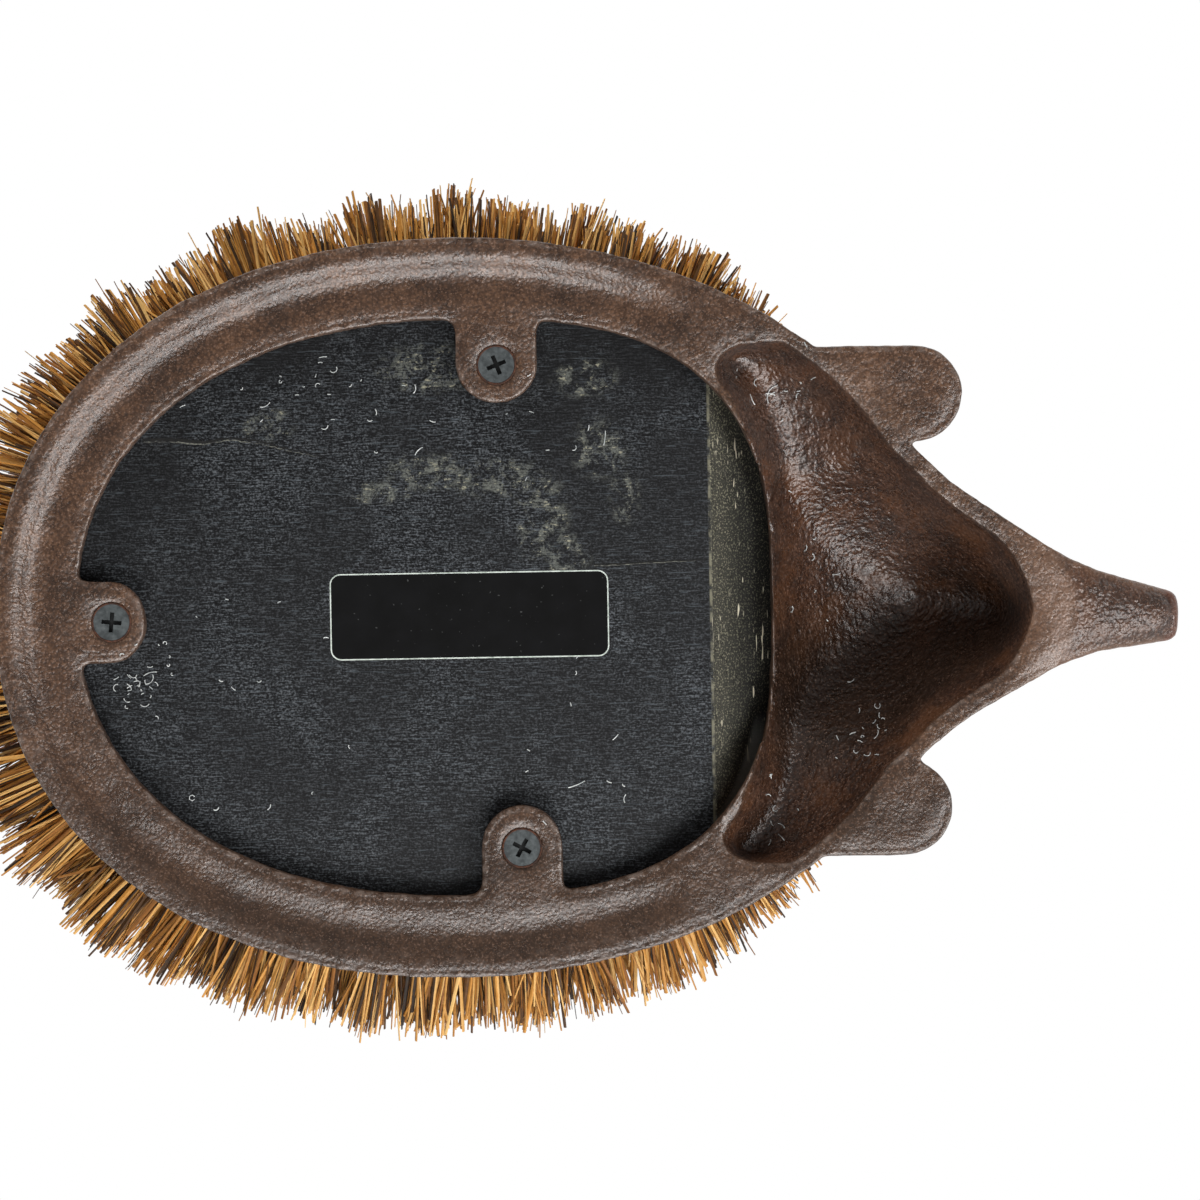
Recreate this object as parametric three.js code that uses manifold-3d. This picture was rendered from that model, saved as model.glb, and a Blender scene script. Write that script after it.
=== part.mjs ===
// Hedgehog boot brush: a hollow cast-iron animal whose back is a wooden brush block full of coir.
// Millimetres, +Z up, +X towards the nose. The rim stands on z = 0 and x is first measured from the
// station where the rim is widest; the whole assembly is centred at the end.
import * as THREE from "three";
import { mergeVertices } from "three/addons/utils/BufferGeometryUtils.js";
import Module from "manifold-3d";

const wasm = await Module();
wasm.setup();

// Clearances
const FIT_GAP = 0.3;
const BLOCK_GAP = 0.6;

// Rim: an oval band, gutter-shaped from below, rounded from above
const RIM_HALF_WIDTH = 89;
const RIM_REAR = 112;
const RIM_FRONT = 119;
const RIM_REAR_POWER = 2.15;
const RIM_FRONT_POWER = 2;
const RIM_BAND = 19.5;
const RIM_EDGE = 1.5;
const BEAD_HEIGHT = 14;
const BEAD_CREST = 8;
const FOOT_WIDTH = 5;
const GUTTER_WIDTH = 11;
const GUTTER_CREST = 4.6;
const GUTTER_HEIGHT = 3.5;
const GUTTER_FADE = 38;
const GUTTER_END = 64;

// Flange inside the rim that carries the block, and the opening in it
const FLANGE_LIFT = 2.2;
const FLANGE_THICKNESS = 5.3;
const OPENING_FRONT = 75.6;
const OPENING_REAR_POWER = 2.2;
const OPENING_FRONT_POWER = 2.8;

// Lugs and wood screws
const LUG_WIDTH = 19.5;
const LUG_FILLET = 3.5;
const LUG_REAR_END = 8;
const LUG_RIGHT_END = 9;
const LUG_LEFT_END = 10.2;
const LUG_RIGHT_STATION = 9.6;
const LUG_LEFT_STATION = 13.9;
const LUG_REAR_OFFSET = 2.2;
const SCREW_INSET = 11.2;
const SCREW_REAR_INSET = 8.5;
const SCREW_HEAD_DIAMETER = 8.9;
const SCREW_SHANK_DIAMETER = 4.5;
const SCREW_LENGTH = 16;
const SCREW_POINT = 5;
const SCREW_SINK = 0.3;
const RECESS_SPAN = 4.8;
const RECESS_SLOT = 1;
const RECESS_DEPTH = 1.5;

// Wooden block
const BLOCK_LAP = 6;
const BLOCK_HEIGHT = 16;
const CHAMFER_STATION = 60.5;
const CHAMFER_ANGLE = 45;
const ROOT_LAYER = 5;

// Head, shoulders and paws
const NOSE_REACH = 173.8;
const NOSE_ROUNDING = 3;
const NOSE_HEIGHT = 13.5;
const NOSE_DEPTH = 11;
const SNOUT_SWAY = 5;
const CHIN_STATION = 137;
const CHIN_LIFT = 8;
const CHIN_ROUNDING = 4;
const HEAD_START = 66;
// Head stations from collar to snout: [station, half-width, height of the ridge]
const HEAD_STATIONS = [[88, 49, 60], [101, 45.5, 56], [116, 31.5, 45], [132, 20.8, 35], [149, 11.5, 26]];
const COLLAR_HALF_WIDTH = 51;
const SNOUT_HALF_WIDTH = 6.3;
const SHOULDER_HEIGHT = 40;
const COLLAR_STATION = 50;
const COLLAR_LEAN = 38;
const HEAD_ARCH = 1.75;
const NECK_LEAN = 42;
const NECK_EDGE = 1.5;
const NECK_EDGE_SLOPE = 3;
const NECK_LEVEL_HALF = 15;
const NECK_FALL_HALF = 55;
const NECK_MIDDLE = 17;
const NECK_SIDE = 4;
const NECK_RISE = 28;
const NECK_RUN = 14;
const WALL_FOOT = 5.5;
const ROOF_THICKNESS = 5;
const HOLLOW_REACH = 137.2;
const HOLLOW_ROUNDING = 9;
const HOLLOW_HEIGHT = 44;
const HOLLOW_ARCH = 1.3;
const HOLLOW_HALF_WIDTH = 62.5;
const HOLLOW_REAR = 61;
const HOLLOW_POWER = 2.15;
const PAW_RIGHT_REACH = 124.5;
const PAW_LEFT_REACH = 120.5;
const PAW_LENGTH = 36;
const PAW_WIDTH = 23;
const PAW_OFFSET = 49.7;
const PAW_HEIGHT = 9;
const EYE_STATION = 129;
const EYE_RADIUS = 3.3;
const EAR_STATION = 109;
const EAR_RADIUS = 9;

// Coir
const BRUSH_TOP = 100;
const BRUSH_SIDE_REACH = 108;
const BRUSH_REAR_REACH = 139;
const BRUSH_FRONT_REACH = 118;
const BRUSH_WAIST = 38;
const STRAND_PITCH = 7.6;
const STRAND_SCATTER = 1.6;
const STRAND_ROOT_RADIUS = 1.5;
const STRAND_TIP_RADIUS = 1;
const STRAND_EDGE_MARGIN = 4;
const STRAND_SIDE_SPLAY = 1.75;
const STRAND_REAR_SPLAY = 1.6;
const STRAND_FRONT_SPLAY = 0.85;

// Levels that follow from the sizes above
const SEAT_LEVEL = FLANGE_LIFT + FLANGE_THICKNESS;
const BLOCK_BOTTOM = SEAT_LEVEL + FIT_GAP;
const BLOCK_TOP = BLOCK_BOTTOM + BLOCK_HEIGHT;
const ROOT_LEVEL = BLOCK_TOP - ROOT_LAYER;
const OPENING_HALF = RIM_HALF_WIDTH - RIM_BAND;
const OPENING_REAR = RIM_REAR - RIM_BAND;
const POCKET_EDGE = RIM_BAND - BLOCK_LAP - BLOCK_GAP;
const NECK_SLOPE = Math.tan(THREE.MathUtils.degToRad(NECK_LEAN));
const SKY = BRUSH_TOP * 2;
const DEEP = 1;

const ROUND = 72;
const smooth = (a, b, x) => THREE.MathUtils.smoothstep(x, a, b);

// Closed mesh to solid and back
function solid(geometry) {
  const plain = geometry.clone();
  plain.deleteAttribute("normal");
  plain.deleteAttribute("uv");
  const welded = mergeVertices(plain, 1e-4);
  const vertProperties = new Float32Array(welded.attributes.position.array);
  const triVerts = new Uint32Array(welded.index.array);
  return new wasm.Manifold(new wasm.Mesh({ numProp: 3, vertProperties, triVerts }));
}

function geometryOf(body) {
  const mesh = body.getMesh();
  const geometry = new THREE.BufferGeometry();
  geometry.setAttribute("position", new THREE.BufferAttribute(mesh.vertProperties, 3));
  geometry.setIndex(new THREE.BufferAttribute(mesh.triVerts, 1));
  geometry.computeVertexNormals();
  return geometry;
}

// Skin over a row of rings, each ring turning the same way, closed at both ends
function loft(rings) {
  const count = rings[0].length;
  const points = rings.flat();
  const index = [];
  for (let r = 0; r + 1 < rings.length; r += 1) {
    for (let i = 0; i < count; i += 1) {
      const a = r * count + i;
      const b = r * count + (i + 1) % count;
      index.push(a, b, b + count, a, b + count, a + count);
    }
  }
  const close = (ring, start, flip) => {
    const middle = new THREE.Vector3();
    ring.forEach((p) => middle.addScaledVector(p, 1 / count));
    const hub = points.push(middle) - 1;
    for (let i = 0; i < count; i += 1) {
      const a = start + i;
      const b = start + (i + 1) % count;
      index.push(...(flip ? [hub, b, a] : [hub, a, b]));
    }
  };
  close(rings[0], 0, true);
  close(rings[rings.length - 1], (rings.length - 1) * count, false);
  const geometry = new THREE.BufferGeometry().setFromPoints(points);
  geometry.setIndex(index);
  return geometry;
}

// Oval in plan with its own reach to the rear, to the front and to each side
function oval(half, rear, front, rearPower, frontPower, z, x = 0) {
  const ring = [];
  for (let i = 0; i < ROUND; i += 1) {
    const angle = (i / ROUND) * Math.PI * 2;
    const c = Math.cos(angle);
    const s = Math.sin(angle);
    const power = 2 / (c >= 0 ? frontPower : rearPower);
    const reach = c >= 0 ? front : rear;
    const along = reach * Math.sign(c) * Math.abs(c) ** power;
    const across = half * Math.sign(s) * Math.abs(s) ** power;
    ring.push(new THREE.Vector3(x + along, across, z));
  }
  return ring;
}

const rimOval = (inset, z, frontPower = RIM_FRONT_POWER) => oval(
  RIM_HALF_WIDTH - inset, RIM_REAR - inset, RIM_FRONT - inset, RIM_REAR_POWER, frontPower, z);

const openingOval = (grow, front, z) => oval(
  OPENING_HALF + grow, OPENING_REAR + grow, front, OPENING_REAR_POWER, OPENING_FRONT_POWER, z);

// Half-width of the opening at a station, used to place the side lugs
function openingHalfAt(x) {
  const reach = x >= 0 ? OPENING_FRONT : OPENING_REAR;
  const power = x >= 0 ? OPENING_FRONT_POWER : OPENING_REAR_POWER;
  return OPENING_HALF * (1 - Math.abs(x / reach) ** power) ** (1 / power);
}

const ball = (rx, ry, rz, x, y, z, detail = 12) => new THREE.SphereGeometry(1, detail, detail)
  .scale(rx, ry, rz).translate(x, y, z);

// Everything behind a plane across the animal that leans towards the nose
function behind(x, z, lean) {
  const size = SKY * 3;
  const slab = new THREE.BoxGeometry(size, size, size).translate(-size / 2, 0, 0);
  slab.rotateY(THREE.MathUtils.degToRad(lean)).translate(x, 0, z);
  return solid(slab);
}

// Rim, seen from above: a rounded bead that drops to the seat of the block
function rimSolid() {
  const rings = [rimOval(0, 0), rimOval(0, RIM_EDGE)];
  for (let i = 1; i <= 5; i += 1) {
    const angle = (i / 5) * Math.PI / 2;
    const inset = BEAD_CREST * (1 - Math.cos(angle));
    rings.push(rimOval(inset, RIM_EDGE + (BEAD_HEIGHT - RIM_EDGE) * Math.sin(angle)));
  }
  for (let i = 1; i <= 4; i += 1) {
    const share = i / 4;
    const inset = BEAD_CREST + (POCKET_EDGE - BEAD_CREST) * share;
    const drop = (BEAD_HEIGHT - SEAT_LEVEL) * (1 - Math.cos(Math.PI * share)) / 2;
    rings.push(rimOval(inset, BEAD_HEIGHT - drop));
  }
  return solid(loft(rings));
}

// Height of the gutter: a steep flank beside the foot and a gentle one down to the flange
function gutterAt(across) {
  if (across < GUTTER_CREST) return GUTTER_HEIGHT * Math.sin((across / GUTTER_CREST) * Math.PI / 2);
  const back = (across - GUTTER_CREST) / (GUTTER_WIDTH - GUTTER_CREST);
  return FLANGE_LIFT + (GUTTER_HEIGHT - FLANGE_LIFT) * (1 + Math.cos(Math.PI * back)) / 2;
}

// Space under the rim: the gutter between foot and flange, fading out beside the head
function undersideSolid() {
  const rings = [rimOval(FOOT_WIDTH, -DEEP * 2)];
  const steps = 8;
  for (let i = 0; i <= steps; i += 1) {
    const across = GUTTER_WIDTH * (i / steps);
    const rise = gutterAt(across);
    const ring = rimOval(FOOT_WIDTH + across, 0);
    ring.forEach((p) => {
      p.z = (rise + DEEP) * (1 - smooth(GUTTER_FADE, GUTTER_END, p.x)) - DEEP;
    });
    rings.push(ring);
  }
  return solid(loft(rings));
}

// Lugs: round-ended tongues that reach into the opening, each with its screw
const sideY = (x) => openingHalfAt(x) - SCREW_INSET;
const lugs = [
  {
    name: "screw_rear", x: SCREW_REAR_INSET - OPENING_REAR, y: LUG_REAR_OFFSET,
    inset: SCREW_REAR_INSET, end: LUG_REAR_END, turn: Math.PI, slot: 0.1,
  },
  {
    name: "screw_right", x: LUG_RIGHT_STATION, y: -sideY(LUG_RIGHT_STATION),
    inset: SCREW_INSET, end: LUG_RIGHT_END, turn: -Math.PI / 2, slot: 1.2,
  },
  {
    name: "screw_left", x: LUG_LEFT_STATION, y: sideY(LUG_LEFT_STATION),
    inset: SCREW_INSET, end: LUG_LEFT_END, turn: Math.PI / 2, slot: 0.5,
  },
];

function tongueSolid(lug) {
  const half = LUG_WIDTH / 2;
  const root = half + LUG_FILLET;
  const shape = new THREE.Shape();
  shape.moveTo(RIM_BAND, root);
  shape.lineTo(lug.inset, root);
  shape.quadraticCurveTo(lug.inset, half, lug.inset - LUG_FILLET, half);
  shape.lineTo(0, half);
  shape.absellipse(0, 0, lug.end, half, Math.PI / 2, Math.PI * 1.5, false);
  shape.lineTo(lug.inset - LUG_FILLET, -half);
  shape.quadraticCurveTo(lug.inset, -half, lug.inset, -root);
  shape.lineTo(RIM_BAND, -root);
  const tongue = new THREE.ExtrudeGeometry(shape, {
    depth: SEAT_LEVEL + DEEP * 4, bevelEnabled: false, curveSegments: 10,
  });
  return solid(tongue.rotateZ(lug.turn).translate(lug.x, lug.y, -DEEP * 2));
}

function openingSolid() {
  const rings = [openingOval(0, OPENING_FRONT, -DEEP), openingOval(0, OPENING_FRONT, SEAT_LEVEL + DEEP)];
  return lugs.reduce((hole, lug) => hole.subtract(tongueSolid(lug)), solid(loft(rings)));
}

// Room for the block and the coir above the seat; past the block its front wall leans over the neck
function brushRoom(grow, inFront, levels) {
  const front = (z) => OPENING_FRONT + inFront + Math.max(z - BLOCK_TOP, 0) * NECK_SLOPE;
  return solid(loft(levels.map((z) => openingOval(grow, front(z), z))));
}

// Head: half-width and ridge height run smoothly through the stations from the collar to the nose
const SNOUT_END = NOSE_REACH - NOSE_ROUNDING;
const headLine = new THREE.CatmullRomCurve3([
  new THREE.Vector3(HEAD_START, COLLAR_HALF_WIDTH, HEAD_STATIONS[0][2]),
  ...HEAD_STATIONS.map((station) => new THREE.Vector3(...station)),
  new THREE.Vector3(SNOUT_END, SNOUT_HALF_WIDTH, NOSE_HEIGHT + NOSE_DEPTH / 2),
]);

function headAt(x) {
  let low = 0;
  let high = 1;
  for (let i = 0; i < 40; i += 1) {
    const middle = (low + high) / 2;
    if (headLine.getPoint(middle).x < x) low = middle;
    else high = middle;
  }
  const point = headLine.getPoint(low);
  const past = Math.max(0, (x - CHIN_STATION) / (NOSE_REACH - CHIN_STATION));
  const turn = Math.max(0, (x - HEAD_START) / (NOSE_REACH - HEAD_START));
  return {
    half: point.y, ridge: point.z, middle: SNOUT_SWAY * turn ** 2,
    under: CHIN_LIFT * past ** 1.4, belly: CHIN_ROUNDING * past,
  };
}

// Share of the half-width and of the height on an arch; a power below 2 makes it pointed
function archAt(angle, power) {
  const c = Math.cos(angle);
  const s = Math.sin(angle);
  return [Math.sign(c) * Math.abs(c) ** (2 / power), Math.sign(s) * Math.abs(s) ** (2 / power)];
}

// Section of the head: a tall arch above, a shallow one below that is flat under the shell
function headRing(x, half, under, belly, ridge, middle, power) {
  const ring = [];
  const waist = under + belly;
  const upper = 24;
  const lower = 8;
  for (let i = 0; i < upper + lower; i += 1) {
    const below = i > upper;
    const angle = below ? Math.PI * (1 + (i - upper) / lower) : Math.PI * (i / upper);
    const [across, up] = archAt(angle, below ? 2 : power);
    const rise = up * (below ? belly : ridge - waist);
    ring.push(new THREE.Vector3(x, middle + half * across, waist + rise));
  }
  return ring;
}

function headSolid() {
  const rings = [];
  const steps = 18;
  for (let i = 0; i <= steps; i += 1) {
    const x = HEAD_START + (SNOUT_END - HEAD_START) * (i / steps);
    const at = headAt(x);
    rings.push(headRing(x, at.half, at.under, at.belly, at.ridge, at.middle, HEAD_ARCH));
  }
  const tip = rings[rings.length - 1];
  const centre = new THREE.Vector3(0, SNOUT_SWAY, NOSE_HEIGHT);
  for (let i = 1; i <= 4; i += 1) {
    const angle = (i / 4) * Math.PI / 2;
    const shrink = 1 - (NOSE_ROUNDING / SNOUT_HALF_WIDTH) * (1 - Math.cos(angle));
    rings.push(tip.map((p) => {
      const q = p.clone().sub(centre).multiplyScalar(shrink).add(centre);
      return q.setX(SNOUT_END + NOSE_ROUNDING * Math.sin(angle));
    }));
  }
  return solid(loft(rings));
}

// Shoulders: a low dome on the rim's oval, or its inside when it is inset
function shoulderSolid(inset, roof, power) {
  const rings = [rimOval(inset, -DEEP, power)];
  const steps = 8;
  for (let i = 0; i < steps; i += 1) {
    const angle = (i / steps) * Math.PI / 2;
    const ring = rimOval(inset, (SHOULDER_HEIGHT - roof) * Math.sin(angle), power);
    ring.forEach((p) => {
      p.x *= Math.cos(angle);
      p.y *= Math.cos(angle);
    });
    rings.push(ring);
  }
  return solid(loft(rings));
}

// Space below the neck: it climbs from the edge of the block's room towards the crown
function underNeckSolid() {
  const half = OPENING_HALF + BLOCK_LAP + BLOCK_GAP;
  const power = OPENING_FRONT_POWER;
  const fall = (y) => smooth(NECK_LEVEL_HALF, NECK_FALL_HALF, Math.abs(y));
  const height = (x, y) => {
    const edge = OPENING_FRONT * (1 - Math.min(1, Math.abs(y) / half) ** power) ** (1 / power);
    const past = x - edge - NECK_EDGE;
    const foot = NECK_MIDDLE + (NECK_SIDE - NECK_MIDDLE) * fall(y);
    return foot + (past < 0 ? past * NECK_EDGE_SLOPE : NECK_RISE * (1 - Math.exp(-past / NECK_RUN)));
  };
  const rings = [];
  const stations = 24;
  const across = 32;
  for (let i = 0; i <= stations; i += 1) {
    const x = HOLLOW_REAR - DEEP + (HOLLOW_REACH + DEEP * 2 - HOLLOW_REAR) * (i / stations) ** 1.5;
    const ring = [];
    for (let j = 0; j <= across; j += 1) {
      const y = RIM_HALF_WIDTH * (1 - 2 * j / across);
      const z = i === 0 ? 0 : height(x, y);
      ring.push(new THREE.Vector3(x, y, Math.max(z, -DEEP / 2)));
    }
    ring.push(new THREE.Vector3(x, -RIM_HALF_WIDTH, -DEEP * 2));
    ring.push(new THREE.Vector3(x, RIM_HALF_WIDTH, -DEEP * 2));
    rings.push(ring);
  }
  return solid(loft(rings));
}

// Hollow of the head: the shell's inside, behind a round end under the snout
function hollowSolid() {
  const rings = [];
  const steps = 18;
  for (let i = 0; i <= steps; i += 1) {
    const share = 1 - (1 - i / steps) ** 1.8;
    const x = HEAD_START + (HOLLOW_REACH - HEAD_START) * share;
    const at = headAt(x);
    const past = Math.max(0, 1 - (HOLLOW_REACH - x) / HOLLOW_ROUNDING);
    const end = Math.sqrt(Math.max(0.02, 1 - past ** 2));
    const ridge = Math.min(at.ridge - ROOF_THICKNESS, HOLLOW_HEIGHT) * end;
    rings.push(headRing(x, (at.half - WALL_FOOT) * end, -DEEP, 0, ridge, at.middle, HOLLOW_ARCH));
  }
  const shoulder = shoulderSolid(WALL_FOOT, ROOF_THICKNESS, HOLLOW_POWER);
  const length = RIM_FRONT - HOLLOW_REAR;
  const bound = (z) => oval(HOLLOW_HALF_WIDTH, length, length, 14, 14, z, RIM_FRONT);
  const shoulderRoom = shoulder.intersect(solid(loft([bound(-DEEP), bound(SHOULDER_HEIGHT)])));
  const shell = solid(loft(rings)).add(shoulderRoom);
  return shell.intersect(underNeckSolid());
}

// Front paws: round pads with three toes
function pawSolid(side, reach) {
  const half = PAW_WIDTH / 2;
  const bevel = 3;
  const shape = new THREE.Shape();
  shape.moveTo(-PAW_LENGTH, half - bevel);
  shape.lineTo(-PAW_LENGTH, bevel - half);
  shape.lineTo(-half, bevel - half);
  shape.absarc(-half, 0, half - bevel, -Math.PI / 2, Math.PI / 2, false);
  const pad = new THREE.ExtrudeGeometry(shape, {
    depth: PAW_HEIGHT - bevel, bevelSize: bevel, bevelThickness: bevel, bevelSegments: 3, curveSegments: 8,
  });
  const ground = new THREE.BoxGeometry(SKY, SKY, SKY).translate(0, 0, -SKY / 2);
  let paw = solid(pad);
  [-1, 0, 1].forEach((toe) => {
    const spread = toe * (half - bevel) * 0.72;
    const back = half * (1 + Math.abs(toe) * 0.25);
    paw = paw.add(solid(ball(half, half * 0.36, PAW_HEIGHT * 0.45, -back, spread, PAW_HEIGHT * 0.78, 10)));
  });
  return paw.translate([reach - bevel, side * PAW_OFFSET, 0]).subtract(solid(ground));
}

function earSolid(side) {
  const at = headAt(EAR_STATION);
  const [across, up] = archAt(THREE.MathUtils.degToRad(48), HEAD_ARCH);
  const y = at.half * across;
  const z = at.ridge * up;
  const shell = ball(0.42, 0.85, 1, 0, 0, 0);
  const bowl = ball(0.4, 0.6, 0.72, 0.36, 0, 0.12);
  const place = (form) => solid(form.scale(EAR_RADIUS, EAR_RADIUS, EAR_RADIUS).rotateX(-side * 0.5)
    .translate(EAR_STATION, side * y, z + EAR_RADIUS * 0.3));
  return { shell: place(shell), bowl: place(bowl) };
}

function eyeSolid(side) {
  const at = headAt(EYE_STATION);
  const [across, up] = archAt(THREE.MathUtils.degToRad(46), HEAD_ARCH);
  const y = at.middle + side * at.half * across;
  return solid(ball(EYE_RADIUS, EYE_RADIUS, EYE_RADIUS, EYE_STATION, y, at.ridge * up, 10));
}

// Screw outline from the head's face (z = 0) to the point, optionally grown for its seat
function screwProfile(gap) {
  const head = SCREW_HEAD_DIAMETER / 2 + gap;
  const shank = SCREW_SHANK_DIAMETER / 2 + gap;
  const rim = 0.4;
  return [
    new THREE.Vector2(0, 0),
    new THREE.Vector2(head, 0),
    new THREE.Vector2(head, rim),
    new THREE.Vector2(shank, rim + head - shank),
    new THREE.Vector2(shank, SCREW_LENGTH - SCREW_POINT + gap),
    new THREE.Vector2(0, SCREW_LENGTH + gap),
  ];
}

const lathe = (profile) => new THREE.LatheGeometry(profile, 24).rotateX(Math.PI / 2);
const SCREW_LEVEL = FLANGE_LIFT + SCREW_SINK;

function screwSolid() {
  const slot = (turn) => new THREE.BoxGeometry(RECESS_SPAN, RECESS_SLOT, RECESS_DEPTH * 2).rotateZ(turn);
  return solid(lathe(screwProfile(0))).subtract(solid(slot(0))).subtract(solid(slot(Math.PI / 2)));
}

function screwSeat(lug) {
  const seat = solid(lathe(screwProfile(FIT_GAP))).translate([lug.x, lug.y, SCREW_LEVEL]);
  const head = SCREW_HEAD_DIAMETER / 2 + FIT_GAP;
  const mouth = new THREE.CylinderGeometry(head, head, SCREW_LEVEL + DEEP, 24).rotateX(Math.PI / 2);
  return seat.add(solid(mouth.translate(lug.x, lug.y, (SCREW_LEVEL - DEEP) / 2 + 0.05)));
}

// The casting
const collar = behind(COLLAR_STATION, 0, COLLAR_LEAN);
const shoulders = shoulderSolid(0, 0, RIM_FRONT_POWER).subtract(collar);
const floorBox = solid(new THREE.BoxGeometry(SKY * 3, SKY * 3, SKY).translate(0, 0, -SKY / 2));
let casting = rimSolid().add(shoulders).add(headSolid().subtract(collar));
[-1, 1].forEach((side) => {
  const ear = earSolid(side);
  casting = casting.add(ear.shell).subtract(ear.bowl).add(eyeSolid(side));
});
casting = casting.add(pawSolid(-1, PAW_RIGHT_REACH)).add(pawSolid(1, PAW_LEFT_REACH));
casting = casting.subtract(floorBox)
  .subtract(undersideSolid())
  .subtract(openingSolid())
  .subtract(brushRoom(BLOCK_LAP + BLOCK_GAP, 0, [SEAT_LEVEL, BLOCK_TOP, BRUSH_TOP]))
  .subtract(hollowSolid());
lugs.forEach((lug) => {
  casting = casting.subtract(screwSeat(lug));
});

// The block: an oval board whose front end is chamfered from below
function boardSolid(low, high) {
  const board = brushRoom(BLOCK_LAP, -BLOCK_GAP, [low, high]);
  return board.intersect(behind(CHAMFER_STATION, BLOCK_BOTTOM, CHAMFER_ANGLE));
}

let block = boardSolid(BLOCK_BOTTOM, ROOT_LEVEL);
lugs.forEach((lug) => {
  block = block.subtract(screwSeat(lug));
});

// Coir: strands fan out from the block's top and end on a dome
const BOARD_HALF = OPENING_HALF + BLOCK_LAP - STRAND_EDGE_MARGIN;
const BOARD_REAR = OPENING_REAR + BLOCK_LAP - STRAND_EDGE_MARGIN;
const BOARD_FRONT = OPENING_FRONT - BLOCK_GAP - STRAND_EDGE_MARGIN;

function onBoard(x, y) {
  const reach = x >= 0 ? OPENING_FRONT : BOARD_REAR;
  const power = x >= 0 ? OPENING_FRONT_POWER : OPENING_REAR_POWER;
  return x < BOARD_FRONT && Math.abs(x / reach) ** power + Math.abs(y / BOARD_HALF) ** power < 1;
}

// Repeatable scatter between 0 and 1 for a strand's place and length
const scatter = (a, b) => Math.abs(Math.sin(a * 12.9898 + b * 78.233) * 43758.5453) % 1;

function strandTip(x, y, trim) {
  const along = x / (x >= 0 ? BOARD_FRONT : BOARD_REAR);
  const across = y / BOARD_HALF;
  const edge = Math.min(1, Math.hypot(along, across));
  const lean = new THREE.Vector3(
    along * edge * (x >= 0 ? STRAND_FRONT_SPLAY : STRAND_REAR_SPLAY), across * edge * STRAND_SIDE_SPLAY, 1);
  const tip = new THREE.Vector3(x, y, BLOCK_TOP);
  const inside = (p) => {
    const reach = p.x >= 0 ? BRUSH_FRONT_REACH : BRUSH_REAR_REACH;
    const up = (p.z - BRUSH_WAIST) / (BRUSH_TOP - BRUSH_WAIST);
    return (p.x / reach) ** 2 + (p.y / BRUSH_SIDE_REACH) ** 2 + up ** 2 < trim;
  };
  let low = 0;
  let high = BRUSH_TOP * 2;
  for (let i = 0; i < 30; i += 1) {
    const middle = (low + high) / 2;
    if (inside(tip.clone().addScaledVector(lean, middle))) low = middle;
    else high = middle;
  }
  return tip.addScaledVector(lean, low);
}

function strandSolid(x, y) {
  const tip = strandTip(x, y, 0.94 + 0.06 * scatter(x, y));
  const ring = (at, radius) => [0, 1, 2].map((i) => {
    const angle = (i / 3) * Math.PI * 2 + y;
    return new THREE.Vector3(at.x + radius * Math.cos(angle), at.y + radius * Math.sin(angle), at.z);
  });
  const root = new THREE.Vector3(x, y, BLOCK_TOP - ROOT_LAYER / 2);
  return solid(loft([ring(root, STRAND_ROOT_RADIUS), ring(tip, STRAND_TIP_RADIUS)]));
}

function fieldSolid(end, side) {
  const size = SKY * 2;
  const corner = new THREE.BoxGeometry(size, size, size).translate(
    end * (size / 2 + FIT_GAP / 2), side * (size / 2 + FIT_GAP / 2), 0);
  let field = boardSolid(ROOT_LEVEL, BLOCK_TOP).intersect(solid(corner));
  const rowPitch = STRAND_PITCH * Math.sqrt(3) / 2;
  for (let row = 0; row * rowPitch < BOARD_HALF; row += 1) {
    for (let i = 0; i * STRAND_PITCH < BOARD_REAR; i += 1) {
      const shiftX = STRAND_SCATTER * scatter(i, row);
      const shiftY = STRAND_SCATTER * scatter(row, i + 7);
      const x = end * ((i + 0.3 + (row % 2) / 2) * STRAND_PITCH + shiftX);
      const y = side * ((row + 0.35) * rowPitch + shiftY);
      if (onBoard(x, y)) field = field.add(strandSolid(x, y));
    }
  }
  return field;
}

const iron = new THREE.MeshStandardMaterial({ color: 0x6a5140, roughness: 0.55, metalness: 0.35 });
const paintedWood = new THREE.MeshStandardMaterial({ color: 0x2b2b2d, roughness: 0.7, metalness: 0 });
const steel = new THREE.MeshStandardMaterial({ color: 0x55585a, roughness: 0.45, metalness: 0.9 });
const coir = new THREE.MeshStandardMaterial({ color: 0x8a5a28, roughness: 0.85, metalness: 0 });

const assembly = new THREE.Group();
function place(name, body, material) {
  const mesh = new THREE.Mesh(geometryOf(body), material);
  mesh.name = name;
  assembly.add(mesh);
  return mesh;
}

place("cast_body", casting, iron);
place("brush_block", block, paintedWood);
lugs.forEach((lug) => {
  const screw = place(lug.name, screwSolid(), steel);
  screw.position.set(lug.x, lug.y, SCREW_LEVEL);
  screw.rotation.z = lug.slot;
});
place("bristles_front_left", fieldSolid(1, 1), coir);
place("bristles_front_right", fieldSolid(1, -1), coir);
place("bristles_rear_left", fieldSolid(-1, 1), coir);
place("bristles_rear_right", fieldSolid(-1, -1), coir);

const reach = new THREE.Box3().setFromObject(assembly);
assembly.position.x = -(reach.min.x + reach.max.x) / 2;

const part = new THREE.Group();
part.name = "boot_scraper";
part.add(assembly);
export default part;
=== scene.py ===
"""Looks of a hedgehog boot brush, seen from below: iron skin, painted board, screws, coir and lint."""
import math

import bmesh
import bpy
import numpy as np
from mathutils import Matrix, Vector
from mathutils.bvhtree import BVHTree


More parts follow.
